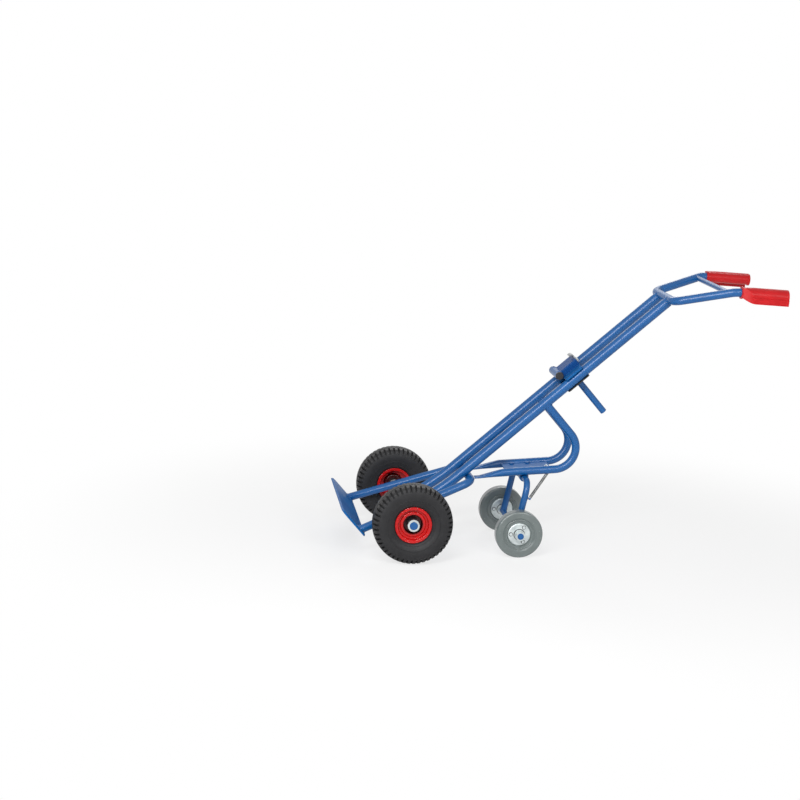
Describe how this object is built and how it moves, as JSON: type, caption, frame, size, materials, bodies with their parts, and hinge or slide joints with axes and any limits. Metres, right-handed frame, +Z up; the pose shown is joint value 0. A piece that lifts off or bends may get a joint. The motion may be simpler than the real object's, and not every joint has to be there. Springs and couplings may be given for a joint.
{
  "type": "drum truck",
  "caption": "Two-rail drum truck with air tyres, toe plate, sliding rim hook, guarded handle grips and a sprung fold-up fork with support wheels.",
  "frame": {"origin": "centre of the footprint's bounding box, on the floor under the wheels", "axes": "+X from the toe plate toward the handle, +Y toward the right-hand wheel, +Z up"},
  "size_m": [1.4088, 0.6272, 0.932],
  "materials": {
    "blue_paint": "glossy powder coat",
    "dark_blue_paint": "glossy powder coat",
    "black_paint": "satin paint",
    "zinc": "zinc plated",
    "bright_steel": "bright zinc plated",
    "spring_steel": "drawn wire",
    "grip_red": "moulded, satin",
    "rim_red": "gloss paint",
    "tyre_black": "moulded rubber",
    "grey_rubber": "moulded rubber",
    "black_plastic": "moulded"
  },
  "bodies": {
    "frame": {"rail_left": "blue_paint", "rail_right": "blue_paint", "lower_frame": "blue_paint", "toe_plate": "blue_paint", "main_axle": "blue_paint", "axle_collars": "zinc", "axle_spacers": "zinc", "bow_left": "blue_paint", "bow_right": "blue_paint", "bow_plate": "blue_paint", "pivot_block_left": "blue_paint", "pivot_block_right": "blue_paint", "pivot_bolts": "blue_paint", "spring_hook_bolt": "zinc", "support_spring": "spring_steel", "handle_tube": "blue_paint", "handle_brace": "blue_paint", "grip_left": "grip_red", "grip_right": "grip_red"},
    "main_wheel_left": {"main_tyre_left": "tyre_black", "rim_outer_left": "rim_red", "rim_inner_left": "rim_red", "main_hub_left": "black_plastic", "main_bearing_left": "black_plastic"},
    "main_wheel_right": {"main_tyre_right": "tyre_black", "rim_outer_right": "rim_red", "rim_inner_right": "rim_red", "main_hub_right": "black_plastic", "main_bearing_right": "black_plastic"},
    "support_fork": {"fork_tube": "blue_paint", "fork_stop": "blue_paint", "spring_pin": "blue_paint", "support_axle": "blue_paint", "axle_rings": "zinc", "support_spacers": "zinc"},
    "support_wheel_left": {"support_tyre_left": "grey_rubber", "disc_outer_left": "zinc", "disc_inner_left": "zinc", "support_hub_left": "zinc", "disc_rivets_left": "zinc"},
    "support_wheel_right": {"support_tyre_right": "grey_rubber", "disc_outer_right": "zinc", "disc_inner_right": "zinc", "support_hub_right": "zinc", "disc_rivets_right": "zinc"},
    "hook_carriage": {"carriage_plate": "blue_paint", "guide_block": "blue_paint", "carriage_bracket": "dark_blue_paint", "drum_bar": "blue_paint", "bar_cap_left": "black_plastic", "bar_cap_right": "black_plastic", "rim_hook": "bright_steel", "hook_bolts": "zinc", "clamp_nut": "zinc"},
    "clamp": {"clamp_plate": "black_paint"},
    "clamp_spindle": {"clamp_washer": "zinc", "clamp_spindle": "blue_paint"}
  },
  "joints": [
    {"name": "main_wheel_left_spin", "type": "hinge", "parent": "frame", "child": "main_wheel_left", "pos_m": [-0.47957, -0.271, 0.13], "axis": [0, 1, 0], "continuous": true},
    {"name": "main_wheel_right_spin", "type": "hinge", "parent": "frame", "child": "main_wheel_right", "pos_m": [-0.47957, 0.271, 0.13], "axis": [0, 1, 0], "continuous": true},
    {"name": "support_fork_fold", "type": "hinge", "parent": "frame", "child": "support_fork", "pos_m": [-0.08257, 0, 0.2405], "axis": [0, 1, 0], "range_deg": [-100, 0], "stiffness_Nm_per_rad": 0.4, "springref_deg": -99.98, "deforming": ["support_spring"]},
    {"name": "support_wheel_left_spin", "type": "hinge", "parent": "support_fork", "child": "support_wheel_left", "pos_m": [-0.11107, -0.166, 0.078], "axis": [0, 1, 0], "continuous": true},
    {"name": "support_wheel_right_spin", "type": "hinge", "parent": "support_fork", "child": "support_wheel_right", "pos_m": [-0.11107, 0.166, 0.078], "axis": [0, 1, 0], "continuous": true},
    {"name": "hook_carriage_slide", "type": "slide", "parent": "frame", "child": "hook_carriage", "axis": [0.7331, 0, 0.6801], "range_m": [-0.065, 0.3]},
    {"name": "clamp_plate_drop", "type": "slide", "parent": "hook_carriage", "child": "clamp", "axis": [0.6801, 0, -0.7331], "range_m": [0, 0.00175]},
    {"name": "clamp_turn", "type": "hinge", "parent": "clamp", "child": "clamp_spindle", "pos_m": [0.11043, 0, 0.5409], "axis": [0.6801, 0, -0.7331], "range_deg": [0, 360]}
  ],
  "couplings": [
    {"joint": "clamp_turn", "follows": "clamp_plate_drop", "rad_per_m": 3590.4}
  ]
}
